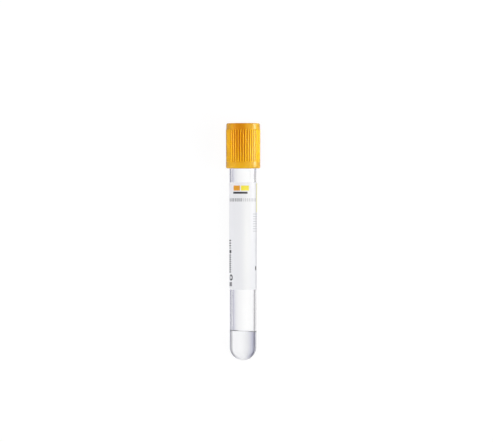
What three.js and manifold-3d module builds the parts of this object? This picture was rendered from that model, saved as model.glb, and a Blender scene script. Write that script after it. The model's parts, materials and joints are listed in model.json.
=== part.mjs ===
// A blood collection tube with separator gel, lying on a flat surface.
//
// A clear round-ended plastic tube carries a paper label and holds a plug of gel in its round end. A closure
// shuts its open end: a rubber stopper held inside a ribbed plastic cap, pulled off together along the tube.
// The cap is wider than the tube, so the tube rests on its round end and on the cap's lower rim, and its axis
// rises a little towards the cap.
//
// Every piece is first made upright on its own axis, which is +Y, with height 0 at the tip of the round end and
// +Z as the side that faces up once it lies down. The group at the end tips them all over together.
// Lengths are in millimetres.
import * as THREE from "three";
import { mergeVertices } from "three/addons/utils/BufferGeometryUtils.js";
import Module from "manifold-3d";

const wasm = await Module();
wasm.setup();

// ---- Driving dimensions ------------------------------------------------------------------------------------

const TURN = 2 * Math.PI;
const TOUCH = 0.05; // clearance between two pieces that bear on each other
const SEGMENTS = 48; // facets round a plain turned piece

const tubeSize = {
  length: 100, // tip of the round end to the rim
  rimRadius: 6.19, // outside
  endRadius: 6.05, // outside, and the radius of the round end
  rimWall: 0.95,
  endWall: 1.2,
  lip: 0.3, // rounding of the rim's outer edge
};

const gelSize = {
  height: 13, // tip of the tube to the middle of the gel's surface
  creep: 1.0, // how far the surface climbs the wall
  creepWidth: 1.1,
  slope: 0.09, // rise over run of the surface, which was poured a little out of level
};

const labelSize = {
  low: 31.9,
  high: 80.3,
  thickness: 0.1,
  corner: 1.2,
  windowAngle: THREE.MathUtils.degToRad(62), // the strip of tube that the label leaves bare
  windowMiddle: THREE.MathUtils.degToRad(-136), // from the side that faces up
};

const stopperSize = {
  flangeRadius: 6.4,
  flangeHeight: 3.2,
  flangeChamfer: 0.25,
  dishRadius: 3.6, // the target that the needle goes through
  dishDepth: 0.85,
  plugLength: 8.5,
  sealLength: 1.1, // height of one sealing ring
  sealRelief: 0.22, // how far the plug is cut back between its rings
  leadIn: 0.7,
  hollowRadius: 2.7,
  membrane: 3.6, // rubber left over the hollow
};

const capSize = {
  low: 86.6,
  high: 107,
  ribs: 42,
  ribRadius: 7.79, // over the ribs at their upper end
  ribRadiusLow: 7.7,
  grooveRadius: 7.36,
  ribLow: 89.4,
  ribHigh: 104.3,
  ribShare: 0.42, // a rib's width over the pitch, at its crest
  grooveShare: 0.26, // the groove's floor over the pitch
  ribRun: 0.45, // length over which a rib and a groove fade into the bands
  lowBandRadius: 7.76,
  highBandRadius: 7.66,
  topRadius: 7.58,
  edge: 0.6, // rounding of the outer edges
  wall: 0.91, // from the groove's floor to the inside
  topWall: 1.3,
  wellRadius: 4.1,
  wellEdge: 0.3,
  collarWall: 0.8,
  beadHeight: 1.0, // the snap bead under the stopper's flange
  beadRise: 0.18,
  mouthChamfer: 0.3,
};

// ---- Derived dimensions ------------------------------------------------------------------------------------

// Outer and inner radius of the tube's straight part at a height: both draft from the rim to the round end.
const draft = (height) => (height - tubeSize.endRadius) / (tubeSize.length - tubeSize.endRadius);
const outside = (height) => THREE.MathUtils.lerp(tubeSize.endRadius, tubeSize.rimRadius, draft(height));
const endBore = tubeSize.endRadius - tubeSize.endWall;
const rimBore = tubeSize.rimRadius - tubeSize.rimWall;
const bore = (height) => THREE.MathUtils.lerp(endBore, rimBore, draft(height));

const flangeLow = tubeSize.length + TOUCH;
const flangeHigh = flangeLow + stopperSize.flangeHeight;
const capBore = capSize.grooveRadius - capSize.wall;

// ---- Shared ways of making a solid -------------------------------------------------------------------------

const point = (radius, height) => new THREE.Vector2(radius, height);

// Points of a quarter or other part of a circle in a profile, from one angle to another.
function arc(radius, height, size, from, to, steps) {
  const curve = new THREE.EllipseCurve(radius, height, size, size, from, to, to < from);
  return curve.getPoints(steps);
}

// A turned piece. Half a facet of turn puts a flat facet underneath when the piece lies down.
function turned(profile) {
  return new THREE.LatheGeometry(profile, SEGMENTS, Math.PI / SEGMENTS);
}

// A closed surface through sections of equal count, each a loop of points, with its first and last loops capped.
function lofted(sections) {
  const count = sections[0].length;
  const points = sections.flat();
  const middle = (loop) => loop.reduce((sum, p) => sum.add(p), new THREE.Vector3()).divideScalar(count);
  points.push(middle(sections[0]), middle(sections[sections.length - 1]));
  const faces = [];
  for (let i = 0; i < count; i++) {
    const next = (i + 1) % count;
    for (let ring = 0; ring + 1 < sections.length; ring++) {
      const low = ring * count;
      const high = low + count;
      faces.push(low + i, low + next, high + next, low + i, high + next, high + i);
    }
    const last = (sections.length - 1) * count;
    faces.push(points.length - 2, next, i, points.length - 1, last + i, last + next);
  }
  return new THREE.BufferGeometry().setFromPoints(points).setIndex(faces);
}

// A mesh geometry as a solid for cutting.
function solid(geometry) {
  const bare = geometry.clone();
  bare.deleteAttribute("normal");
  bare.deleteAttribute("uv");
  const merged = mergeVertices(bare, 1e-4);
  return new wasm.Manifold(
    new wasm.Mesh({
      numProp: 3,
      vertProperties: merged.attributes.position.array,
      triVerts: new Uint32Array(merged.index.array),
    }),
  );
}

// A cut solid as a mesh geometry again.
function geometryOf(cut) {
  const { vertProperties, triVerts } = cut.getMesh();
  return new THREE.BufferGeometry()
    .setAttribute("position", new THREE.BufferAttribute(vertProperties, 3))
    .setIndex(new THREE.BufferAttribute(triVerts, 1));
}

// ---- The pieces --------------------------------------------------------------------------------------------

// The tube: one moulding, drafted inside and out, with a hemispherical end and a rounded rim.
function tubeGeometry() {
  const { length, endRadius, rimRadius, lip } = tubeSize;
  return turned([
    ...arc(0, endRadius, endRadius, -Math.PI / 2, 0, 9),
    ...arc(rimRadius - lip, length - lip, lip, 0, Math.PI / 2, 3),
    point(rimBore + lip / 2, length),
    point(rimBore, length - lip / 2),
    ...arc(0, endRadius, endBore, 0, -Math.PI / 2, 9),
  ]);
}

// The gel: a plug that fills the round end. Its surface climbs the wall and lies a little out of level.
function gelGeometry() {
  const { height, creep, creepWidth, slope } = gelSize;
  const { endRadius } = tubeSize;
  const top = height + creep;
  const wall = bore(top) - TOUCH;
  const geometry = turned([
    ...arc(0, endRadius, endBore - TOUCH, -Math.PI / 2, 0, 8),
    point(wall, top),
    point(wall - 0.12 * creepWidth, top - 0.5 * creep),
    point(wall - 0.4 * creepWidth, top - 0.84 * creep),
    point(wall - creepWidth, height),
    point(0, height),
  ]);
  const position = geometry.attributes.position;
  const surface = height - creep;
  for (let i = 0; i < position.count; i++) {
    if (position.getY(i) > surface) position.setY(i, position.getY(i) - slope * position.getX(i));
  }
  return geometry;
}

// The label: a strip of paper wrapped round the tube with its corners rounded, short of meeting itself. Each
// section is the strip's thickness at one angle.
function labelGeometry() {
  const { low, high, thickness, corner, windowAngle, windowMiddle } = labelSize;
  const start = windowMiddle + windowAngle / 2;
  const sweep = TURN - windowAngle;
  const cornerAngle = corner / outside(low);
  const cornerSteps = [0.04, 0.3, 0.65, 1].map((share) => share * cornerAngle);
  const plainSteps = Array.from({ length: 39 }, (_, i) => cornerAngle + ((i + 1) / 40) * (sweep - 2 * cornerAngle));
  const turns = [...cornerSteps, ...plainSteps, ...cornerSteps.map((angle) => sweep - angle).reverse()];
  const sections = turns.map((turn) => {
    const fromEnd = Math.min(turn, sweep - turn, cornerAngle) / cornerAngle;
    const cut = corner * (1 - Math.sqrt(1 - (1 - fromEnd) ** 2));
    const at = (height, lift) => {
      const radius = outside(height) + TOUCH + lift;
      return new THREE.Vector3(radius * Math.sin(start + turn), height, radius * Math.cos(start + turn));
    };
    return [at(low + cut, 0), at(high - cut, 0), at(high - cut, thickness), at(low + cut, thickness)];
  });
  return lofted(sections);
}

// The stopper: a flange on the tube's rim with a dished target on top, and a plug with two sealing rings that is
// hollow from below, which leaves a membrane for the needle.
function stopperGeometry() {
  const { flangeRadius, flangeChamfer, dishRadius, dishDepth } = stopperSize;
  const { plugLength, sealLength, sealRelief, leadIn, hollowRadius, membrane } = stopperSize;
  const plugLow = tubeSize.length - plugLength;
  const dishFloor = flangeHigh - dishDepth;
  const hollowTop = dishFloor - membrane;
  const plug = (height) => bore(height) - TOUCH;
  const relieved = (height) => plug(height) - sealRelief;
  const ring = (low) => [
    point(relieved(low), low),
    point(plug(low), low + 0.3 * sealLength),
    point(plug(low), low + 0.7 * sealLength),
    point(relieved(low), low + sealLength),
  ];
  return turned([
    point(0, hollowTop),
    point(0.6 * hollowRadius, hollowTop - 0.25),
    point(0.93 * hollowRadius, hollowTop - 1.1),
    point(hollowRadius, plugLow + 0.4),
    point(hollowRadius + 0.4, plugLow),
    point(plug(plugLow) - leadIn, plugLow),
    ...ring(plugLow + leadIn),
    ...ring(tubeSize.length - 2.6 * sealLength),
    point(relieved(flangeLow), flangeLow),
    point(flangeRadius - flangeChamfer, flangeLow),
    point(flangeRadius, flangeLow + flangeChamfer),
    point(flangeRadius, flangeHigh - flangeChamfer),
    point(flangeRadius - flangeChamfer, flangeHigh),
    point(dishRadius + 0.35, flangeHigh),
    point(dishRadius, flangeHigh - 0.3),
    point(0.86 * dishRadius, dishFloor),
    point(0, dishFloor),
  ]);
}

// One loop of points round the cap. Each rib has two crest points and each groove two floor points, so a ring
// with equal radii is a plain band.
function capRing(height, crestRadius, floorRadius) {
  const { ribs, ribShare, grooveShare } = capSize;
  const pitch = TURN / ribs;
  const at = (radius, turn) =>
    new THREE.Vector3(radius * Math.sin(turn), height, radius * Math.cos(turn));
  return Array.from({ length: ribs }, (_, i) => {
    const crest = i * pitch;
    const groove = (i + 0.5) * pitch;
    return [
      at(crestRadius, crest - (ribShare / 2) * pitch),
      at(crestRadius, crest + (ribShare / 2) * pitch),
      at(floorRadius, groove - (grooveShare / 2) * pitch),
      at(floorRadius, groove + (grooveShare / 2) * pitch),
    ];
  }).flat();
}

// The cap's outside: a plain band at each end with rounded edges, and between them ribs that swell out of the
// bands and grooves that sink into them.
function capOutside() {
  const { low, high, ribLow, ribHigh, ribRun, ribRadius, ribRadiusLow, grooveRadius } = capSize;
  const { lowBandRadius, highBandRadius, topRadius, edge } = capSize;
  const band = (p) => capRing(p.y, p.x, p.x);
  const share = (from, to, part) => THREE.MathUtils.lerp(from, to, part);
  return lofted([
    ...arc(lowBandRadius - edge, low + edge, edge, -Math.PI / 2, 0, 3).map(band),
    capRing(ribLow, lowBandRadius, lowBandRadius),
    capRing(ribLow + 0.3 * ribRun, share(lowBandRadius, ribRadiusLow, 0.6), share(lowBandRadius, grooveRadius, 0.6)),
    capRing(ribLow + ribRun, ribRadiusLow, grooveRadius),
    capRing(ribHigh - ribRun, ribRadius, grooveRadius),
    capRing(ribHigh - 0.3 * ribRun, share(highBandRadius, ribRadius, 0.7), share(highBandRadius, grooveRadius, 0.6)),
    capRing(ribHigh, highBandRadius, highBandRadius),
    ...arc(topRadius - edge, high - edge, edge, 0, Math.PI / 2, 3).map(band),
  ]);
}

// The cap's inside, as the shape to cut away: the skirt that goes over the tube and the stopper, the snap bead
// under the stopper's flange, the collar that holds the stopper down, and the well that guides the needle.
function capInside() {
  const { low, high, topWall, wellRadius, wellEdge, collarWall, beadHeight, beadRise, mouthChamfer } = capSize;
  const beadHigh = flangeLow - TOUCH;
  const collarLow = flangeHigh + TOUCH;
  const ceiling = high - topWall;
  const past = 1; // how far the cutting shape runs out of the cap at each end
  return turned([
    point(0, low - past),
    point(capBore + mouthChamfer, low - past),
    point(capBore + mouthChamfer, low),
    point(capBore, low + mouthChamfer),
    point(capBore, beadHigh - beadHeight),
    point(capBore - beadRise, beadHigh - 0.65 * beadHeight),
    point(capBore - beadRise, beadHigh - 0.35 * beadHeight),
    point(capBore, beadHigh),
    point(capBore, ceiling),
    point(wellRadius + collarWall, ceiling),
    point(wellRadius + collarWall, collarLow),
    point(wellRadius, collarLow),
    point(wellRadius, high - wellEdge),
    point(wellRadius + wellEdge, high),
    point(wellRadius + wellEdge, high + past),
    point(0, high + past),
  ]);
}

function capGeometry() {
  return geometryOf(solid(capOutside()).subtract(solid(capInside())));
}

// ---- The tube as it lies -----------------------------------------------------------------------------------

// How far the axis rises when both the round end and the edge of the cap's lower band touch the surface. The
// edge is a circle of the edge's radius, and the round end one of the end's radius, so their lowest points are
// level where run * sin(tilt) - drop * cos(tilt) = rise.
function restingTilt() {
  const { low, lowBandRadius, edge } = capSize;
  const run = low + edge - tubeSize.endRadius;
  const drop = lowBandRadius - edge;
  const rise = edge - tubeSize.endRadius;
  return Math.atan2(drop, run) + Math.asin(rise / Math.hypot(run, drop));
}

function piece(name, geometry, look) {
  const mesh = new THREE.Mesh(geometry, new THREE.MeshStandardMaterial(look));
  mesh.name = name;
  return mesh;
}

const clear = { color: 0xeef1f4, roughness: 0.05, metalness: 0, transparent: true, opacity: 0.35 };
const gelLook = { color: 0xe6e8ec, roughness: 0.2, metalness: 0, transparent: true, opacity: 0.6 };
const paper = { color: 0xf4f4f6, roughness: 0.55, metalness: 0 };
const rubber = { color: 0xb9b4aa, roughness: 0.7, metalness: 0 };
const yellow = { color: 0xf0ae1c, roughness: 0.32, metalness: 0 };

const assembly = new THREE.Group();
assembly.add(
  piece("tube", tubeGeometry(), clear),
  piece("separator_gel", gelGeometry(), gelLook),
  piece("label", labelGeometry(), paper),
  piece("stopper", stopperGeometry(), rubber),
  piece("cap", capGeometry(), yellow),
);
assembly.rotation.x = restingTilt();

// The frame's origin is on the surface, under the middle of the lying tube.
const lying = new THREE.Group();
lying.add(assembly);
lying.updateMatrixWorld(true);
const extent = new THREE.Box3().setFromObject(lying, true);
assembly.position.set(0, -(extent.min.y + extent.max.y) / 2, -extent.min.z);

export default lying;
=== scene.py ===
# %% [markdown]
# # A blood collection tube
# The tube lies on a white table: clear plastic, a paper label, a plug of gel in the round end, and a ribbed
# yellow closure. The packed model is a plain, exact frame. This notebook dresses it: every piece is made
# again as a fine mesh in the same place, and gets a material built from nodes.

# %% Load the frame
import json
import math

import bmesh
import bpy
from mathutils import Matrix, Vector


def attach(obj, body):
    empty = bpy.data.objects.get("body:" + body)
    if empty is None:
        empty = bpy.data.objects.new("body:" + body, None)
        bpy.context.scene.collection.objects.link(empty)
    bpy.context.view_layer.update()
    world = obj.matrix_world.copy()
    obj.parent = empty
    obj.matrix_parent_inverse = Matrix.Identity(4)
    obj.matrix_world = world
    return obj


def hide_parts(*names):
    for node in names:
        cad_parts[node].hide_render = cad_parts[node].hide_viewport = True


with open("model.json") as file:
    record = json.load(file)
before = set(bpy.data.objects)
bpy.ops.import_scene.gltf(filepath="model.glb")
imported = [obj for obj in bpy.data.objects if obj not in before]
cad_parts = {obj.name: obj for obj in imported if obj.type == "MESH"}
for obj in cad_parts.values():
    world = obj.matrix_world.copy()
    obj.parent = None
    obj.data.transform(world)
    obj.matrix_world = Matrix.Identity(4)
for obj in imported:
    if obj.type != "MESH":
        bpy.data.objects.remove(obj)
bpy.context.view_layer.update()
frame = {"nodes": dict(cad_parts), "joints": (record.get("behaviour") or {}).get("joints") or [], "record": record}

print("nodes:", ", ".join(sorted(frame["nodes"])))

# %% [markdown]
# ## The tube's own axis
# A turned piece is easiest to make upright, on its own axis, and to lay down afterwards. The frame knows
# the axis already: the closure is pulled off along it, so the joint gives the direction, and the flat top
# of the cap gives a point. One matrix then lays down whatever is made upright, in millimetres, with
# height 0 at the tip of the round end.

# %% Find the axis
MM = 0.001
WHOLE_LENGTH = 107  # round end to the top of the cap

pull = Vector(frame["joints"][0]["axis"])
cap_top = Vector(frame["record"]["mounts"][0]["pos_m"])
cap_top.x = 0
tip = cap_top - WHOLE_LENGTH * MM * pull
tipped = Vector((0, 1, 0)).rotation_difference(pull).to_matrix().to_4x4()
lay_down = Matrix.Translation(tip) @ tipped @ Matrix.Scale(MM, 4)
stand_up = lay_down.inverted()
print("the axis rises", round(math.degrees(math.asin(pull.z)), 2), "degrees towards the cap")

# %% [markdown]
# ## Heights and radii from the frame
# A piece that replaces a solid keeps that solid's size. Standing a node's points up on the axis gives the
# heights where it starts and ends and how far it reaches from the axis, so no size has to be typed twice.

# %% Measure the nodes


def measured(node):
    """Lowest height, highest height and largest radius of a node, in millimetres on the tube's own axis."""
    points = [stand_up @ vertex.co for vertex in frame["nodes"][node].data.vertices]
    heights = [p.y for p in points]
    return min(heights), max(heights), max(math.hypot(p.x, p.z) for p in points)


_, TUBE_LENGTH, RIM_RADIUS = measured("tube")
LABEL_LOW, LABEL_HIGH, LABEL_RADIUS = measured("label")
PLUG_LOW, FLANGE_HIGH, FLANGE_RADIUS = measured("stopper")
CAP_LOW, CAP_HIGH, RIB_RADIUS = measured("cap")
for node in sorted(frame["nodes"]):
    print(node, *(round(value, 2) for value in measured(node)))

# %% [markdown]
# ## A profile with rounded corners
# Moulded plastic has no sharp corner. A profile is written as the few corners that a drawing would show,
# each with its own rounding, and this function turns every rounding into an arc. That keeps the list
# short, and a radius can be changed by changing one number.

# %% Round the corners of a profile


def rounded(corners, steps=6, loop=False):
    """Points of a profile, from corners of (radius, height, rounding). A rounding above 0 is an arc."""
    count = len(corners)
    points = []
    for i, (radius, height, rounding) in enumerate(corners):
        here = Vector((radius, height))
        is_end = not loop and i in (0, count - 1)
        if rounding == 0 or is_end:
            points.append(here)
            continue
        back = (Vector(corners[i - 1][:2]) - here).normalized()
        ahead = (Vector(corners[(i + 1) % count][:2]) - here).normalized()
        half = back.angle(ahead) / 2
        reach = rounding / math.tan(half)
        centre = here + (back + ahead).normalized() * rounding / math.sin(half)
        first = (here + back * reach - centre).normalized()
        last = (here + ahead * reach - centre).normalized()
        points += [centre + rounding * first.slerp(last, step / steps) for step in range(steps + 1)]
    return points


def dome(radius, height, start, end, steps=28):
    """Points of an arc about a centre on the axis, at that height, between two angles in degrees."""
    angles = [math.radians(start + (end - start) * step / steps) for step in range(steps + 1)]
    return [Vector((radius * math.cos(angle), height + radius * math.sin(angle))) for angle in angles]


print("a square corner rounded by 1 mm has", len(rounded([(0, 0, 0), (5, 0, 1), (5, 5, 0)])), "points")

# %% [markdown]
# ## A skin over rings
# A turned piece, the ribbed cap and the wrapped label are all the same kind of mesh: loops of points, one
# after another, with four-sided faces between them. Blender has a Screw modifier for turned pieces, but it
# can't make ribs, so one function that skins any rings does all of them.
#
# Smooth shading spreads the tilt of a rounded corner over the whole face beside it. On a clear wall 94 mm
# long that bends every ray a few degrees off, so each long stretch gets one more ring close to either
# end.

# %% Skin rings into a mesh
SHARP = math.radians(35)
AROUND = 160  # points round a turned piece
LONG = 1.5  # a stretch longer than this, in millimetres, gets the extra rings
HOLD = 0.1  # how close to its ends they are
TRUE_ROUND = 0.9993  # the solids have flat sides, and this keeps a true circle within them


def held(rings, loop):
    """The rings, with one more beside each end of every stretch that is long."""
    spaced = []
    for a, b in zip(rings, rings[1:] + rings[:1] * loop):
        spaced.append(a)
        gap = (b[0] - a[0]).length
        if len(a) == len(b) and gap > LONG:
            for share in (HOLD / gap, 1 - HOLD / gap):
                spaced.append([p.lerp(q, share) for p, q in zip(a, b)])
    return spaced if loop else spaced + [rings[-1]]


def skin(name, rings, loop=False):
    """A piece through rings of equal count, or of one point on the axis. A loop has no first and last."""
    mesh = bpy.data.meshes.new(name)
    rings = held(rings, loop)
    numbered = []
    for one in rings:
        first = sum(len(before) for before in numbered)
        numbered.append(range(first, first + len(one)))
    faces = [] if loop else [list(numbered[0]), list(numbered[-1])]
    for a, b in zip(numbered, numbered[1:] + numbered[:1] * loop):
        for i in range(max(len(a), len(b))):
            corners = (a[i % len(a)], a[(i + 1) % len(a)], b[(i + 1) % len(b)], b[i % len(b)])
            faces.append(list(dict.fromkeys(corners)))
    points = [point for one in rings for point in one]
    mesh.from_pydata(points, [], [face for face in faces if len(face) > 2])
    mesh.transform(lay_down)
    tidy = bmesh.new()
    tidy.from_mesh(mesh)
    bmesh.ops.recalc_face_normals(tidy, faces=tidy.faces)
    tidy.to_mesh(mesh)
    tidy.free()
    mesh.shade_smooth()
    mesh.set_sharp_from_angle(angle=SHARP)
    made = bpy.data.objects.new(name, mesh)
    bpy.context.scene.collection.objects.link(made)
    return made


def ring(radius, height, turns):
    """Points round the axis. Turn 0 is the side that faces up, and turns grow towards +X."""
    reach = radius * TRUE_ROUND
    return [Vector((reach * math.sin(turn), height, reach * math.cos(turn))) for turn in turns]


def turned(name, profile, loop=False):
    """A turned piece from its profile."""
    turns = [math.tau * i / AROUND for i in range(AROUND)]
    rings = [ring(p.x, p.y, turns) if p.x > 1e-6 else [Vector((0, p.y, 0))] for p in profile]
    return skin(name, rings, loop)


print("a ring of four:", [tuple(round(c, 1) for c in p) for p in ring(1, 0, (0, 1.57, 3.14, 4.71))])

# %% [markdown]
# ## Shader maths in Python
# A material is a graph, and maths in a graph soon takes a screen of boxes. This class wraps one socket
# and overloads the operators, so that a mask is written as a formula and each step adds its Math node.
# Any other node comes from one method: its type, its settings, and the values or links of its sockets.

# %% Wrap a socket


class Wire:
    """An output socket of a material's nodes. Maths on it adds Math nodes."""

    def __init__(self, tree, socket=None):
        self.tree = tree
        self.socket = socket

    def node(self, kind, settings=None, sockets=None, out=0):
        """Adds a node, sets it, fills or links its sockets, and gives back one of its outputs."""
        made = self.tree.nodes.new(kind)
        for name, value in (settings or {}).items():
            if name == "stops":
                ramp = made.color_ramp
                for place, colour in value[2:]:
                    ramp.elements.new(place).color = colour
                for element, (place, colour) in zip(ramp.elements, sorted(value)):
                    element.position = place
                    element.color = colour
            else:
                setattr(made, name, value)
        for name, value in (sockets or {}).items():
            if isinstance(value, Wire):
                self.tree.links.new(value.socket, made.inputs[name])
            else:
                made.inputs[name].default_value = value
        return Wire(self.tree, made.outputs[out] if made.outputs else None)

    def maths(self, operation, *values):
        """A Math node of that operation."""
        return self.node("ShaderNodeMath", {"operation": operation}, dict(enumerate(values)))

    def __add__(self, other):
        return self.maths("ADD", self, other)

    def __sub__(self, other):
        return self.maths("SUBTRACT", self, other)

    def __mul__(self, other):
        return self.maths("MULTIPLY", self, other)

    def __truediv__(self, other):
        return self.maths("DIVIDE", self, other)

    def __radd__(self, other):
        return self.maths("ADD", other, self)

    def __rsub__(self, other):
        return self.maths("SUBTRACT", other, self)

    def __rmul__(self, other):
        return self.maths("MULTIPLY", other, self)

    def __abs__(self):
        return self.maths("ABSOLUTE", self)


def rgb(red, green, blue):
    """A colour with full alpha."""
    return (red, green, blue, 1)


def blended(share, first, second):
    """The first colour where share is 0 and the second where it is 1."""
    settings = {"data_type": "RGBA"}
    sockets = {"Factor": share, 6: first, 7: second}  # the names A and B would find numbers, not colours
    return share.node("ShaderNodeMix", settings, sockets, out=2)


def noise(wire, place, scale, detail=3, roughness=0.5):
    """Fractal noise about 0.5."""
    sockets = {"Vector": place, "Scale": scale, "Detail": detail, "Roughness": roughness}
    return wire.node("ShaderNodeTexNoise", None, sockets)


def blank(name):
    """A material with no nodes yet, and a wire to add them with."""
    material = bpy.data.materials.new(name)
    material.use_nodes = True
    material.node_tree.nodes.clear()
    return material, Wire(material.node_tree)


def finish(name, build, **constants):
    """A material with one Principled shader. build(wire) gives the sockets that vary over the surface."""
    material, wire = blank(name)
    sockets = {key.replace("_", " "): value for key, value in constants.items()}
    shader = wire.node("ShaderNodeBsdfPrincipled", None, sockets | build(wire))
    wire.node("ShaderNodeOutputMaterial", None, {"Surface": shader})
    return material


def dress(piece, material, body, slot, *nodes):
    """Gives a piece its material and body, and lets it stand for its CAD nodes. The slot is not used."""
    piece.data.materials.append(material)
    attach(piece, body)
    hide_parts(*nodes)
    print(piece.name, "has", sum(len(face.vertices) - 2 for face in piece.data.polygons), "triangles")


print("operators ready:", ", ".join(name for name in vars(Wire) if name.startswith("__r")))

# %% [markdown]
# ## The tube
# The real tube is injection moulded in clear polyester: a little wider at the rim than at the round end,
# so that it leaves the mould, with a wall of about a millimetre. Both walls are modelled, because the
# dark lines beside the edges of clear tubes come from the wall bending light. A single skin with glass on
# it looks solid.

# %% Make the tube
END_RADIUS = 6.05
END_WALL = 1.2
RIM_WALL = 0.95
END_BORE = END_RADIUS - END_WALL
RIM_BORE = RIM_RADIUS - RIM_WALL


def bore(height):
    """Radius of the bore at a height."""
    share = (height - END_RADIUS) / (TUBE_LENGTH - END_RADIUS)
    return END_BORE + (RIM_BORE - END_BORE) * share


rim = [
    (END_RADIUS, END_RADIUS, 0),
    (RIM_RADIUS, TUBE_LENGTH, 0.3),
    (RIM_BORE, TUBE_LENGTH, 0.15),
    (END_BORE, END_RADIUS, 0),
]
profile = dome(END_RADIUS, END_RADIUS, -90, 0) + rounded(rim)[1:-1] + dome(END_BORE, END_RADIUS, 0, -90)
tube = turned("clear_tube", profile)
print("the bore is", round(2 * bore(40), 2), "mm wide at mid height")

# %% [markdown]
# Clear plastic is a glass shader with the refractive index of polyester. Lamps can't be traced through
# refracting walls in reasonable time, so for shadow rays the wall is a slightly grey transparent sheet, and
# their light reaches the gel and the back of the label. A faint, slow waviness in the surface breaks up the
# bent lines as a real moulding does.

# %% Clear plastic
POLYESTER_INDEX = 1.57
# painted shade: the wall's colour darkens where it is seen edge-on, which darkens the tube's outlines
EDGE_SHADE = rgb(0.85, 0.85, 0.88)


def clear_plastic():
    """Glass that lets lamps through."""
    material, wire = blank("clear_polyester")
    place = wire.node("ShaderNodeTexCoord", out="Object")
    waves = noise(wire, place, 90, detail=1)
    bump = wire.node("ShaderNodeBump", None, {"Strength": 0.06, "Distance": 0.0006, "Height": waves})
    # painted shade at the edges: near white face on, going to the edge shade at glancing views
    glancing = wire.node("ShaderNodeLayerWeight", None, {"Blend": 0.5}, out="Facing")
    tint = blended(glancing, rgb(0.98, 0.98, 0.99), EDGE_SHADE)
    glass = wire.node(
        "ShaderNodeBsdfPrincipled",
        None,
        {
            "Base Color": tint,
            "Roughness": 0.02,
            "IOR": POLYESTER_INDEX,
            "Transmission Weight": 1,
            "Normal": bump,
        },
    )
    through = wire.node("ShaderNodeBsdfTransparent", None, {"Color": rgb(0.93, 0.94, 0.95)})
    is_shadow = wire.node("ShaderNodeLightPath", out="Is Shadow Ray")
    both = wire.node("ShaderNodeMixShader", None, {0: is_shadow, 1: glass, 2: through})
    wire.node("ShaderNodeOutputMaterial", None, {"Surface": both})
    return material


dress(tube, clear_plastic(), "tube_body", "clear_plastic", "tube")

# %% [markdown]
# ## The gel
# The gel is poured in warm and wets the wall, so there is no air between them. It is made a hair wider
# than the bore, because two glass surfaces with a gap between them would show a second tube inside the
# first. Its surface climbs the wall in a meniscus and lies a little out of level.

# %% Make the gel
GEL_HEIGHT = 13
CREEP = 0.5  # how far the meniscus climbs the wall
CREEP_WIDTH = 0.8
SLOPE = 0.065  # fall of the surface for each millimetre towards +X
WET = 0.02  # how far the gel reaches into the wall


def meniscus(steps=12):
    """Points from the wall down to the flat of the surface: a quarter of an ellipse."""
    top = GEL_HEIGHT + CREEP
    wall = bore(top) + WET
    points = []
    for step in range(steps + 1):
        angle = math.pi / 2 * step / steps
        points.append(Vector((wall - CREEP_WIDTH * (1 - math.cos(angle)), top - CREEP * math.sin(angle))))
    return points


profile = dome(END_BORE + WET, END_RADIUS, -90, 0) + meniscus() + [Vector((0, GEL_HEIGHT))]
gel = turned("separator_gel_plug", profile)
for vertex in gel.data.vertices:
    upright = stand_up @ vertex.co
    if upright.y > GEL_HEIGHT - CREEP:
        vertex.co -= lay_down.to_3x3() @ Vector((0, SLOPE * upright.x, 0))
print("the gel is", GEL_HEIGHT, "mm deep")

# %% [markdown]
# Gel is clear with a slight haze and a cool cast. Most of the light passes straight through and a little
# is scattered, so the material is a slightly rough glass with a small share of plain white in it.

# %% Gel finish


def gel_surface(wire):
    """A cool, faintly cloudy tint and a slight unevenness."""
    place = wire.node("ShaderNodeTexCoord", out="Object")
    cloud = noise(wire, place, 350, detail=2)
    haze = blended(cloud, rgb(0.97, 0.975, 0.99), rgb(0.99, 0.99, 1.0))
    bump = wire.node("ShaderNodeBump", None, {"Strength": 0.1, "Distance": 0.0004, "Height": cloud})
    return {"Base Color": haze, "Normal": bump}


gel_finish = finish("separator_gel", gel_surface, Roughness=0.08, IOR=1.42, Transmission_Weight=0.98)
dress(gel, gel_finish, "tube_body", "gel", "separator_gel")

# %% [markdown]
# ## The label
# A strip of coated paper is wrapped round the tube and stops short of meeting itself, which leaves a bare
# strip to read the level through. It is skinned from slices across its thickness, about two degrees apart
# round the tube, and the first and last slices are shorter, which rounds its corners.

# %% Make the label
PAPER = 0.1
LABEL_CORNER = 1.2
CORNER_SLICES = 10
PLAIN_SLICES = 140
BARE_ANGLE = math.radians(62)
BARE_MIDDLE = math.radians(-136)  # from the side that faces up
LABEL_START = BARE_MIDDLE + BARE_ANGLE / 2
LABEL_TURN = math.tau - BARE_ANGLE
CORNER_TURN = LABEL_CORNER / LABEL_RADIUS
TAPER = (RIM_RADIUS - END_RADIUS) / (TUBE_LENGTH - END_RADIUS)  # the tube's draft, which the paper follows


def paper_in(height):
    """Radius of the paper's inner side, which follows the tube's draft."""
    return LABEL_RADIUS - PAPER - TAPER * (LABEL_HIGH - height)


def paper_slice(turn):
    """One slice across the paper, that far round from its first edge."""
    to_end = min(turn, LABEL_TURN - turn, CORNER_TURN) / CORNER_TURN
    cut = LABEL_CORNER * (1 - math.sqrt(1 - (1 - to_end) ** 2))
    low = LABEL_LOW + cut
    high = LABEL_HIGH - cut
    places = [(low, 0), (high, 0), (high, PAPER), (low, PAPER)]
    return [ring(paper_in(height) + lift, height, [LABEL_START + turn])[0] for height, lift in places]


quarter = [math.pi / 2 * (step + 1) / CORNER_SLICES for step in range(CORNER_SLICES)]
corner_turns = [CORNER_TURN * (1 - math.cos(angle)) for angle in quarter]
plain_turn = (LABEL_TURN - 2 * CORNER_TURN) / PLAIN_SLICES
plain_turns = [CORNER_TURN + plain_turn * step for step in range(1, PLAIN_SLICES)]
turns = [*corner_turns, *plain_turns, *(LABEL_TURN - turn for turn in reversed(corner_turns))]
label = skin("paper_label", [paper_slice(turn) for turn in turns])
print("the strip is", round(LABEL_TURN * LABEL_RADIUS, 1), "mm long round the tube")

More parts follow.
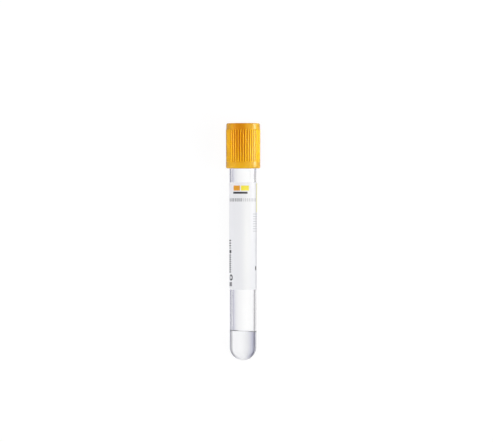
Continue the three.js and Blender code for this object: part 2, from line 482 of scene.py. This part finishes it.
# %% [markdown]
# The print is drawn by maths on a flat map of the label: one axis runs round the tube and the other along
# it, both in millimetres. Only the outside is printed, so the back of the paper is mapped to a place far
# off it.

# %% Map the label
OFF_PRINT = -100


def map_label(mesh):
    """Lays the outside of the label flat, in millimetres round and along the tube."""
    flat = mesh.uv_layers.new(name="flat")
    for face in mesh.polygons:
        middle = stand_up @ face.center
        lift = math.hypot(middle.x, middle.z) - paper_in(middle.y)
        for corner in face.loop_indices:
            place = stand_up @ mesh.vertices[mesh.loops[corner].vertex_index].co
            turn = (math.atan2(place.x, place.z) - LABEL_START) % math.tau
            around = (LABEL_START + turn) * LABEL_RADIUS
            flat.data[corner].uv = (around, place.y) if lift > 0.75 * PAPER else (OFF_PRINT, OFF_PRINT)


map_label(label.data)
print("mapped", len(label.data.polygons), "faces")

# %% [markdown]
# ### Masks
# A mask is a number that is 1 inside a shape and 0 outside it. A field is how far a point lies inside two
# pairs of edges, a ring is how near it lies to a circle, and bars fold the distance to and fro, so that one
# bar comes back at every pitch. Ink has slightly soft edges, so each mask fades over a few hundredths of a
# millimetre.

# %% Masks for print
INK_EDGE = 0.06


def inside(distance):
    """1 where a distance from an edge is above 0, with a soft step."""
    clamped = {"operation": "ADD", "use_clamp": True}
    return distance.node("ShaderNodeMath", clamped, {0: distance / INK_EDGE, 1: 0.5})


def field(around, along, middle, width, height):
    """A rectangle of print. middle is its angle in degrees from the side that faces up, and its height."""
    angle, level = middle
    side = inside(0.5 * width - abs(around - math.radians(angle) * LABEL_RADIUS))
    return side * inside(0.5 * height - abs(along - level))


def bars(along, pitch, share):
    """1 on each bar of a row, and 0 between them."""
    return inside(0.5 * share * pitch - abs(along.maths("PINGPONG", along, 0.5 * pitch)))


def circle(around, along, middle, radius, line):
    """A ring drawn with a line of that width."""
    angle, level = middle
    across = around - math.radians(angle) * LABEL_RADIUS
    upward = along - level
    distance = across.maths("SQRT", across * across + upward * upward)
    return inside(0.5 * line - abs(distance - radius))


print("ink fades over", INK_EDGE, "mm")

# %% [markdown]
# ### The label's finish
# The paper is white with a cool cast and a fine, flat grain. The print is generic: two colour blocks over
# a dark bar, rows and columns of small bars where such a label has fine print, a ring, a pale strip, and
# ruled lines to write on. A thin grey line down one side, beside the pale strip, is painted shade.

# %% Print on paper
AMBER = rgb(0.76, 0.33, 0.02)
YELLOW = rgb(0.88, 0.76, 0.05)
PALE_YELLOW = rgb(0.88, 0.84, 0.42)
DARK = rgb(0.03, 0.03, 0.035)
FINE = rgb(0.22, 0.22, 0.23)
RULE = rgb(0.55, 0.55, 0.57)


def printed_paper(wire):
    """Paper with the print laid on it, one block after another."""
    flat = wire.node("ShaderNodeUVMap", {"uv_map": "flat"})
    around, along = (wire.node("ShaderNodeSeparateXYZ", None, {0: flat}, out=axis) for axis in "XY")
    place = wire.node("ShaderNodeTexCoord", out="Object")
    grain = noise(wire, place, 2200, detail=4)
    fine_row = field(around, along, (-40, 72.4), 8.0, 1.5) * bars(around, 0.95, 0.52)
    faint_row = field(around, along, (30, 72.4), 7.4, 1.5) * bars(around, 0.95, 0.52)
    short_column = field(around, along, (-73, 52.5), 2.6, 4.0) * bars(along, 1.15, 0.5)
    long_column = field(around, along, (-73, 43.8), 2.6, 8.6) * bars(along, 0.95, 0.55)
    back_rows = field(around, along, (70, 62.4), 5.6, 8.6) * bars(along, 1.1, 0.3)
    ruled = field(around, along, (132, 48), 11.5, 22) * bars(along, 5.5, 0.05)
    colour = blended(grain, rgb(0.815, 0.815, 0.835), rgb(0.845, 0.845, 0.86))
    for mask, ink in (
        (field(around, along, (-28.5, 77.7), 3.3, 2.3), AMBER),
        (field(around, along, (7.5, 77.7), 3.7, 2.3), YELLOW),
        (field(around, along, (-13.5, 75.6), 7.0, 0.9), DARK),
        (fine_row, FINE),
        (faint_row, RULE),
        (short_column, DARK),
        (field(around, along, (-70, 49.1), 2.5, 1.4), DARK),
        (long_column, DARK),
        (circle(around, along, (-62, 37.4), 1.05, 0.7), DARK),
        (field(around, along, (-67, 34.4), 2.8, 1.9), FINE),
        (field(around, along, (91, 73.4), 5.8, 13.0), PALE_YELLOW),
        # painted shade: a thin grey line down the side, where the paper turns away
        (field(around, along, (67, 57), 0.8, 50), RULE),
        (field(around, along, (65, 41.6), 1.1, 1.8), DARK),
        (back_rows, RULE),
        (ruled, RULE),
    ):
        colour = blended(mask, colour, ink)
    bump = wire.node("ShaderNodeBump", None, {"Strength": 0.12, "Distance": 0.0001, "Height": grain})
    return {"Base Color": colour, "Normal": bump, "Roughness": 0.42 + 0.12 * grain}


label_finish = finish("label_paper", printed_paper, IOR=1.45)
dress(label, label_finish, "tube_body", "label_paper", "label")

# %% [markdown]
# ## The stopper
# The rubber stopper does the sealing: a flange sits on the tube's rim, and a plug with two rings presses
# on the bore. It is hollow from below, so a needle has only a membrane to go through, and its top has a
# dished target. It is turned from one profile, with soft roundings, because rubber leaves its mould with
# no sharp edge.

# %% Make the stopper
TOUCH = 0.05  # clearance between two pieces that bear on each other
FLANGE_LOW = TUBE_LENGTH + TOUCH
DISH_MOUTH = 3.95  # radius of the dish where it leaves the flange's top
DISH_FLAT = 3.2  # radius of its floor
DISH_DEPTH = 0.85
DISH_FLOOR = FLANGE_HIGH - DISH_DEPTH
MEMBRANE = 3.6
HOLLOW_RADIUS = 2.7
HOLLOW_TOP = DISH_FLOOR - MEMBRANE
LEAD_IN = 0.7
SEAL = 1.1  # height of one sealing ring
UPPER_SEAL = TUBE_LENGTH - 2.6 * SEAL
RELIEF = 0.22  # how far the plug stands back from its rings


def seal_ring(low):
    """Corners of one sealing ring that starts at a height."""
    plug = bore(low) - TOUCH
    return [
        (plug - RELIEF, low, 0.15),
        (plug, low + 0.3 * SEAL, 0.2),
        (plug, low + 0.7 * SEAL, 0.2),
        (plug - RELIEF, low + SEAL, 0.15),
    ]


corners = [
    (0, HOLLOW_TOP, 0),
    (HOLLOW_RADIUS, HOLLOW_TOP, 1.2),
    (HOLLOW_RADIUS, PLUG_LOW, 0.35),
    (bore(PLUG_LOW) - LEAD_IN, PLUG_LOW, 0.2),
    *seal_ring(PLUG_LOW + LEAD_IN),
    *seal_ring(UPPER_SEAL),
    (bore(FLANGE_LOW) - RELIEF, FLANGE_LOW, 0.2),
    (FLANGE_RADIUS, FLANGE_LOW, 0.25),
    (FLANGE_RADIUS, FLANGE_HIGH, 0.3),
    (DISH_MOUTH, FLANGE_HIGH, 0.2),
    (DISH_FLAT, DISH_FLOOR, 0.4),
    (0, DISH_FLOOR, 0),
]
stopper = turned("rubber_stopper", rounded(corners))
print("the needle goes through", MEMBRANE, "mm of rubber")

# %% [markdown]
# Butyl rubber is matt and warm grey, with a fine speckle of filler and a dusty bloom that makes it paler in
# patches.

# %% Rubber


def rubber_surface(wire):
    """Warm grey with paler patches and a fine speckle."""
    place = wire.node("ShaderNodeTexCoord", out="Object")
    speckle = noise(wire, place, 4200, detail=2)
    bloom = noise(wire, place, 260, detail=3)
    warm = blended(bloom, rgb(0.40, 0.36, 0.31), rgb(0.52, 0.48, 0.42))
    colour = blended(0.25 * speckle, warm, rgb(0.62, 0.60, 0.55))
    bump = wire.node("ShaderNodeBump", None, {"Strength": 0.25, "Distance": 0.0001, "Height": speckle})
    return {"Base Color": colour, "Normal": bump, "Roughness": 0.58 + 0.2 * bloom}


rubber = finish("butyl_rubber", rubber_surface, IOR=1.5, Specular_IOR_Level=0.35)
dress(stopper, rubber, "closure", "stopper_rubber", "stopper")

# %% [markdown]
# ## The cap
# The cap is what the hand holds. Between a plain band at each end run 42 ribs that swell out of the
# bands, with grooves that sink into them. An array of separate ribs would leave seams, so the whole wall
# is one skin: every ring knows a radius on the crests and a radius in the grooves, and a smooth wave goes
# from one to the other.

# %% The wave round the ribs
RIBS = 42
POINTS_PER_RIB = 16
CREST_HALF = 0.14  # of the pitch
GROOVE_HALF = 0.08


def smooth(share):
    """An eased step from 0 to 1."""
    share = min(max(share, 0), 1)
    return share * share * (3 - 2 * share)


def rib_wave(place):
    """1 on a crest and 0 in a groove, for a place in pitches from the crest."""
    to_groove = 0.5 - GROOVE_HALF - abs(place)
    return smooth(to_groove / (0.5 - GROOVE_HALF - CREST_HALF))


PLACES = [rib + step / POINTS_PER_RIB for rib in range(RIBS) for step in range(POINTS_PER_RIB)]
WAVE = [rib_wave((place + 0.5) % 1 - 0.5) for place in PLACES]


def cap_ring(crest, groove, height):
    """A ring of the cap, at one radius on the crests and another in the grooves."""
    made = []
    for place, wave in zip(PLACES, WAVE):
        made += ring(groove + (crest - groove) * wave, height, [math.tau * place / RIBS])
    return made


print(len(PLACES), "points go round the cap")

# %% [markdown]
# The profile runs once round the section of the wall: up the outside, over the top, down the needle well
# and the collar that holds the stopper, out under the ceiling, and down the bore past the snap bead to
# the mouth.

# %% Make the cap
LOW_BAND = 7.76
HIGH_BAND = 7.66
TOP_RADIUS = 7.55
RIB_RADIUS_LOW = 7.7
GROOVE_RADIUS = 7.36
RIB_LOW = 89.4
RIB_HIGH = 104.3
RIB_RUN = 0.45  # height over which a rib swells out of its band
CAP_WALL = 0.91
CAP_BORE = GROOVE_RADIUS - CAP_WALL
WELL_RADIUS = 4.1
COLLAR_WALL = 0.8
COLLAR_RADIUS = WELL_RADIUS + COLLAR_WALL
COLLAR_LOW = FLANGE_HIGH + TOUCH
TOP_WALL = 1.3
CEILING = CAP_HIGH - TOP_WALL
BEAD_RISE = 0.18
BEAD_RADIUS = CAP_BORE - BEAD_RISE
BEAD_HIGH = TUBE_LENGTH - 0.4
BEAD_LOW = TUBE_LENGTH - 0.7
BEAD_FOOT = TUBE_LENGTH - 1.1  # where the bead fades into the bore


def run(start, end, band, crest, steps=7):
    """Rings from a plain band, at the start height, to full ribs at the end height."""
    rings = []
    for step in range(steps + 1):
        share = step / steps
        swell = smooth(share)
        radii = (band + (crest - band) * swell, band + (GROOVE_RADIUS - band) * swell)
        rings.append((*radii, start + (end - start) * share))
    return rings


def plain(corners):
    """Rings with no ribs, from profile corners. The first and last corners only give directions."""
    return [(point.x, point.x, point.y) for point in rounded(corners)[1:-1]]


outside = [
    *plain([(CAP_BORE, CAP_LOW, 0), (LOW_BAND, CAP_LOW, 0.6), (LOW_BAND, RIB_LOW, 0)]),
    *run(RIB_LOW, RIB_LOW + RIB_RUN, LOW_BAND, RIB_RADIUS_LOW),
    *reversed(run(RIB_HIGH, RIB_HIGH - RIB_RUN, HIGH_BAND, RIB_RADIUS)),
    *plain([(HIGH_BAND, RIB_HIGH, 0), (TOP_RADIUS, CAP_HIGH, 0.6), (WELL_RADIUS, CAP_HIGH, 0)]),
]
inside_corners = [
    (TOP_RADIUS, CAP_HIGH, 0),
    (WELL_RADIUS, CAP_HIGH, 0.35),
    (WELL_RADIUS, COLLAR_LOW, 0.2),
    (COLLAR_RADIUS, COLLAR_LOW, 0.2),
    (COLLAR_RADIUS, CEILING, 0.3),
    (CAP_BORE, CEILING, 0.3),
    (CAP_BORE, TUBE_LENGTH, 0),
    (BEAD_RADIUS, BEAD_HIGH, 0.15),
    (BEAD_RADIUS, BEAD_LOW, 0.15),
    (CAP_BORE, BEAD_FOOT, 0.15),
    (CAP_BORE, CAP_LOW, 0.25),
    (LOW_BAND, CAP_LOW, 0),
]
cap = skin("ribbed_cap", [cap_ring(*one) for one in outside + plain(inside_corners)], loop=True)
print("the ribs stand", round(RIB_RADIUS - GROOVE_RADIUS, 2), "mm out of the grooves")

# %% [markdown]
# The cap is glossy polyethylene in amber yellow. Light and shade are painted into its colour: the grooves
# are painted a deeper orange as shade, the crests a brighter yellow as lit, and the bands lie between the
# two. Among the ribs the colour follows the distance from the cap's axis. The mould leaves a slightly
# uneven gloss.

# %% Yellow plastic
# painted shade: the orange of the grooves
GROOVE_SHADE_ORANGE = rgb(0.58, 0.23, 0.001)
# the bands lie this share of the way from the painted groove shade to the painted lit crests
BAND_SHADE_SHARE = 0.45


def mark_depth(mesh):
    """Stores how far each point stands out of the grooves, 0 at their floor and 1 on a crest, and a set share on
    the bands. The value chooses between painted shade and painted light.
    """
    depth = mesh.attributes.new("rib_height", "FLOAT", "POINT")
    for vertex, value in zip(mesh.vertices, depth.data):
        upright = stand_up @ vertex.co
        radius = math.hypot(upright.x, upright.z)
        share = (radius - GROOVE_RADIUS) / (RIB_RADIUS_LOW - GROOVE_RADIUS)
        among_ribs = RIB_LOW + RIB_RUN / 2 < upright.y < RIB_HIGH - RIB_RUN / 2
        value.value = min(max(share, 0), 1) if among_ribs else BAND_SHADE_SHARE


def cap_surface(wire):
    """Crests painted a lit yellow, grooves painted a shaded orange, and a slightly uneven gloss."""
    place = wire.node("ShaderNodeTexCoord", out="Object")
    flow = noise(wire, place, 160, detail=2)
    pores = noise(wire, place, 2600, detail=3)
    # the crests carry the plastic's yellow painted brighter, as lit, with a slow random unevenness
    crest = blended(flow, rgb(0.975, 0.635, 0.006), rgb(0.985, 0.665, 0.012))
    rib_height = wire.node("ShaderNodeAttribute", {"attribute_name": "rib_height"}, out="Fac")
    # painted shade in the grooves and painted light on the crests, mixed by the stored share
    colour = blended(rib_height, GROOVE_SHADE_ORANGE, crest)
    bump = wire.node("ShaderNodeBump", None, {"Strength": 0.005, "Distance": 0.0001, "Height": pores})
    return {"Base Color": colour, "Normal": bump, "Roughness": 0.24 + 0.03 * pores}


mark_depth(cap.data)
yellow_plastic = finish("cap_polyethylene", cap_surface, IOR=1.5, Specular_IOR_Level=0.3)
dress(cap, yellow_plastic, "closure", "cap_plastic", "cap")

# %% [markdown]
# ## The table
# The table and the backdrop are one white sheet. Lit plainly it would come out light grey, so for rays
# that start at the camera most of its colour is its own light, and the rest still takes the tube's
# shadow. Diffuse light only meets the plain sheet, so nothing is lit by the glow. Rays that gloss has
# thrown off or that have come through clear plastic pass through the table, as they would through a glass
# one. From here on, lengths are in metres.

# %% Make the table
GLOW_SHARE = 0.9  # how much of what the camera sees of the table is its own light
GLOW_STRENGTH = 1.04
HALF_SHEET = 2.4


def hide_from(thing, kinds_of_ray):
    """Keeps a lamp or a sheet out of sight for some kinds of ray."""
    for kind in kinds_of_ray:
        setattr(thing, "visible_" + kind, False)


def rectangle(low, high):
    """Corners of a flat rectangle, from two opposite corners that share one coordinate."""
    across, along = [axis for axis in range(3) if low[axis] != high[axis]]
    corners = [Vector(low), Vector(low), Vector(high), Vector(low)]
    corners[1][across] = high[across]
    corners[3][along] = high[along]
    return corners


def flat_sheet(name, corners, material, unseen_by=()):
    """A sheet through four corners, as part of the stage."""
    mesh = bpy.data.meshes.new(name)
    mesh.from_pydata(corners, [], [(0, 1, 2, 3)])
    mesh.materials.append(material)
    made = bpy.data.objects.new(name, mesh)
    hide_from(made, unseen_by)
    bpy.context.scene.collection.objects.link(made)
    print(name, "is in place")


def level_square(height):
    """Corners of the widest sheet, at a height."""
    return rectangle((-HALF_SHEET, -HALF_SHEET, height), (HALF_SHEET, HALF_SHEET, height))


def white_table():
    """White for rays from the camera, clear for those by way of gloss or glass, and matt for the rest."""
    material, wire = blank("white_table")
    shown = GLOW_SHARE * wire.node("ShaderNodeLightPath", out="Is Camera Ray")
    shining = wire.node("ShaderNodeLightPath", out="Is Glossy Ray")
    matt = wire.node("ShaderNodeBsdfDiffuse", None, {"Color": rgb(0.86, 0.86, 0.87)})
    glow = wire.node("ShaderNodeEmission", None, {"Color": rgb(1, 1, 1), "Strength": GLOW_STRENGTH})
    clear = wire.node("ShaderNodeBsdfTransparent", None, {"Color": rgb(1, 1, 1)})
    lit = wire.node("ShaderNodeMixShader", None, {0: shown, 1: matt, 2: glow})
    both = wire.node("ShaderNodeMixShader", None, {0: shining, 1: lit, 2: clear})
    wire.node("ShaderNodeOutputMaterial", None, {"Surface": both})
    return material


flat_sheet("table", level_square(0), white_table())

# %% [markdown]
# ### A graded sheet under the table
# Clear plastic has no outline of its own: its edges show whatever the wall bends into view. In a studio a
# bottle gets a white sheet behind it with darker cards at the sides, which draw its edges. Here one sheet
# does both. It lies below the table, and only gloss and clear plastic show it. Near the tube's edges the
# wall throws rays steeply to the side, where they find the dark bands, and the gel, which is a lens, shows
# the bands the other way round.

# %% Lay the graded sheet
DROP = 0.06  # how far it lies below the table
GRADE_FROM = -0.12
GRADE_TO = 0.14
GRADE = (  # places across X, in metres, and the light that the sheet gives there
    (-0.112, rgb(1.04, 1.04, 1.04)),
    (-0.090, rgb(0.85, 0.85, 0.88)),
    (-0.070, rgb(0.84, 0.84, 0.88)),
    (-0.061, rgb(0.78, 0.78, 0.83)),
    (-0.055, rgb(0.45, 0.45, 0.54)),
    (-0.050, rgb(0.08, 0.08, 0.16)),
    (-0.042, rgb(0.02, 0.02, 0.09)),
    (-0.030, rgb(0.47, 0.47, 0.60)),
    (-0.020, rgb(0.73, 0.73, 0.80)),
    (-0.012, rgb(0.93, 0.93, 0.93)),
    (0.005, rgb(1.14, 1.14, 1.11)),
    (0.035, rgb(1.14, 1.14, 1.11)),
    (0.048, rgb(0.45, 0.45, 0.46)),
    (0.060, rgb(0.60, 0.60, 0.61)),
    (0.070, rgb(0.50, 0.50, 0.51)),
    (0.100, rgb(0.32, 0.32, 0.34)),
    (0.125, rgb(1.04, 1.04, 1.04)),
)


def graded_paper():
    """White with a darker band on each side, across X."""
    material, wire = blank("graded_paper")
    place = wire.node("ShaderNodeTexCoord", out="Object")
    across = wire.node("ShaderNodeSeparateXYZ", None, {0: place}, out="X")
    share = (across - GRADE_FROM) / (GRADE_TO - GRADE_FROM)
    stops = [((x - GRADE_FROM) / (GRADE_TO - GRADE_FROM), colour) for x, colour in GRADE]
    grade = wire.node("ShaderNodeValToRGB", {"stops": stops}, {"Fac": share})
    light = wire.node("ShaderNodeEmission", None, {"Color": grade, "Strength": 1})
    wire.node("ShaderNodeOutputMaterial", None, {"Surface": light})
    return material


flat_sheet("graded_sheet", level_square(-DROP), graded_paper(), ("camera", "diffuse", "shadow"))

# %% [markdown]
# ## Light
# A tube is lit from its sides: by a large soft lamp high on the right, a tall narrow one standing at each
# side, and two small ones close to the cap, whose beams are narrow enough to miss the label. Neither gloss
# nor glass shows these lamps, so clear plastic stays free of white patches.
#
# Two more are the other way round, and only gloss shows them. One is low on the cap's right and draws a
# bright line down the yellow. The other is faintly warm and hangs over the label, to the right of its
# middle, because coated paper has a soft gloss.

# %% Set the lamps
MATT_ONLY = ("camera", "glossy", "transmission")  # hidden from these rays, it lights only matt surfaces
GLOSS_ONLY = ("camera", "diffuse", "transmission")  # hidden from these, it shows only in gloss
CAP_MIDDLE = lay_down @ Vector((0, (CAP_LOW + CAP_HIGH) / 2, 0))
LABEL_MIDDLE = lay_down @ Vector((0, (LABEL_LOW + LABEL_HIGH) / 2, 0))
WIDE_BEAM = math.pi
CAP_BEAM = 0.75
WHITE = (1, 1, 1)
WARM_WHITE = (1.0, 0.97, 0.68)


def lamp(name, place, size, power, aim=(0, 0, 0), beam=WIDE_BEAM, unseen_by=MATT_ONLY, tint=WHITE):
    """A soft lamp of a power in watts, aimed at the table under the tube's middle unless told otherwise."""
    data = bpy.data.lights.new(name, "AREA")
    data.shape = "RECTANGLE"
    data.size, data.size_y = size
    data.energy = power
    data.spread = beam
    data.color = tint
    made = bpy.data.objects.new(name, data)
    made.location = place
    made.rotation_euler = (Vector(aim) - Vector(place)).to_track_quat("-Z", "Y").to_euler()
    hide_from(made, unseen_by)
    bpy.context.scene.collection.objects.link(made)
    print(name, "at", [round(value, 3) for value in place])


lamp("key_right", (0.514, 0.0, 0.613), (0.70, 0.80), 2.7)
lamp("side_right", (0.60, 0.0, 0.07), (0.05, 0.70), 0.35)
lamp("side_left", (-0.60, 0.0, 0.07), (0.12, 0.70), 2.1)
for name, way, power in (
    ("cap_left", Vector((-0.029, 0, 0.025)), 0.00036),
    ("cap_right", Vector((0.033, 0, 0.019)), 0.00041),
):
    lamp(name, CAP_MIDDLE + way, (0.015, 0.012), power, aim=CAP_MIDDLE, beam=CAP_BEAM)

cap_shine_place = CAP_MIDDLE + Vector((0.12, 0, 0.015))
lamp("cap_shine", cap_shine_place, (0.08, 0.008), 0.12, aim=CAP_MIDDLE, unseen_by=GLOSS_ONLY)

label_spot = LABEL_MIDDLE + Vector((0, -0.005, 0))
lamp(
    "label_shine",
    label_spot + Vector((0.029, 0, 0.053)),
    (0.040, 0.056),
    0.029,
    aim=label_spot,
    unseen_by=GLOSS_ONLY,
    tint=WARM_WHITE,
)

# %% [markdown]
# Glowing orange cards are set close to the cap. One hangs over it, keeps the white room off the ribs that
# face the camera and lights them amber instead. One stands at each side and keeps the side lamps and the
# room off the cap's edges, so that they don't burn out to a pale yellow.

# %% Set the cards
EDGE_CARD_X = 0.0125
EDGE_CARD_Y = (0.034, 0.0535)
EDGE_CARD_LOW = 0.005  # high enough that it hardly shades the table


def glowing(name, colour):
    """A material that gives light of its own."""
    material, wire = blank(name)
    light = wire.node("ShaderNodeEmission", None, {"Color": colour, "Strength": 1})
    wire.node("ShaderNodeOutputMaterial", None, {"Surface": light})
    return material


def edge_card(name, x, high, colour):
    """A card that stands beside the cap."""
    near, far = EDGE_CARD_Y
    corners = rectangle((x, near, EDGE_CARD_LOW), (x, far, high))
    flat_sheet(name, corners, glowing(name, colour), MATT_ONLY)


over_cap = rectangle((-0.0105, 0.036, 0.021), (0.003, 0.064, 0.021))
flat_sheet("warm_card", over_cap, glowing("warm_card", rgb(0.57, 0.12, 0.0)), MATT_ONLY)
edge_card("left_edge_card", -EDGE_CARD_X, 0.0145, rgb(0.20, 0.06, 0.0))
edge_card("right_edge_card", EDGE_CARD_X, 0.0125, rgb(0.45, 0.18, 0.0))

# %% [markdown]
# A white room fills the rest. The world gives an even, faintly cool light from all round, and where the
# camera sees past the table it is plain white.

# %% Fill the room
ROOM = 0.635


def white_room():
    """Even light from all round, and plain white where the camera sees past the table."""
    world = bpy.data.worlds.new("room")
    bpy.context.scene.world = world
    world.use_nodes = True
    world.node_tree.nodes.clear()
    wire = Wire(world.node_tree)
    seen = wire.node("ShaderNodeLightPath", out="Is Camera Ray")
    ambient = wire.node("ShaderNodeBackground", None, {"Color": rgb(0.97, 0.98, 1.0), "Strength": ROOM})
    white = wire.node("ShaderNodeBackground", None, {"Color": rgb(1, 1, 1), "Strength": 1})
    both = wire.node("ShaderNodeMixShader", None, {0: seen, 1: ambient, 2: white})
    wire.node("ShaderNodeOutputWorld", None, {"Surface": both})


white_room()
bpy.context.scene.view_settings.view_transform = "Standard"
print("the room's strength is", ROOM)

# %% [markdown]
# ## Camera
# The camera looks down on the lying tube through a long lens, so the tube stands upright in the picture
# with hardly any perspective. It is tipped as the tube is, to look at the tube's axis squarely.

# %% Set the camera
FRAME_WIDTH = 0.2226  # what the picture shows at the tube
DISTANCE = 2.2
SENSOR = 36  # in millimetres, as Blender measures its cameras
SIDEWAYS = 0.0015  # the middle of the picture, from the tube's middle
TOWARDS_CAP = 0.0093
TIP = math.asin(pull.z)
AXIS_HEIGHT = (tip.z + cap_top.z) / 2

camera_data = bpy.data.cameras.new("camera")
camera_data.sensor_width = SENSOR
camera_data.lens = SENSOR * DISTANCE / FRAME_WIDTH
camera_data.clip_end = 10
camera = bpy.data.objects.new("camera", camera_data)
target = Vector((SIDEWAYS, TOWARDS_CAP, AXIS_HEIGHT))
camera.location = target + DISTANCE * Vector((0, -math.sin(TIP), math.cos(TIP)))
camera.rotation_euler = (TIP, 0, 0)
bpy.context.scene.collection.objects.link(camera)
bpy.context.scene.camera = camera
print("the lens is", round(camera_data.lens), "mm")

# %% [markdown]
# ## Finish

# %% Finish
print("the scene is dressed")
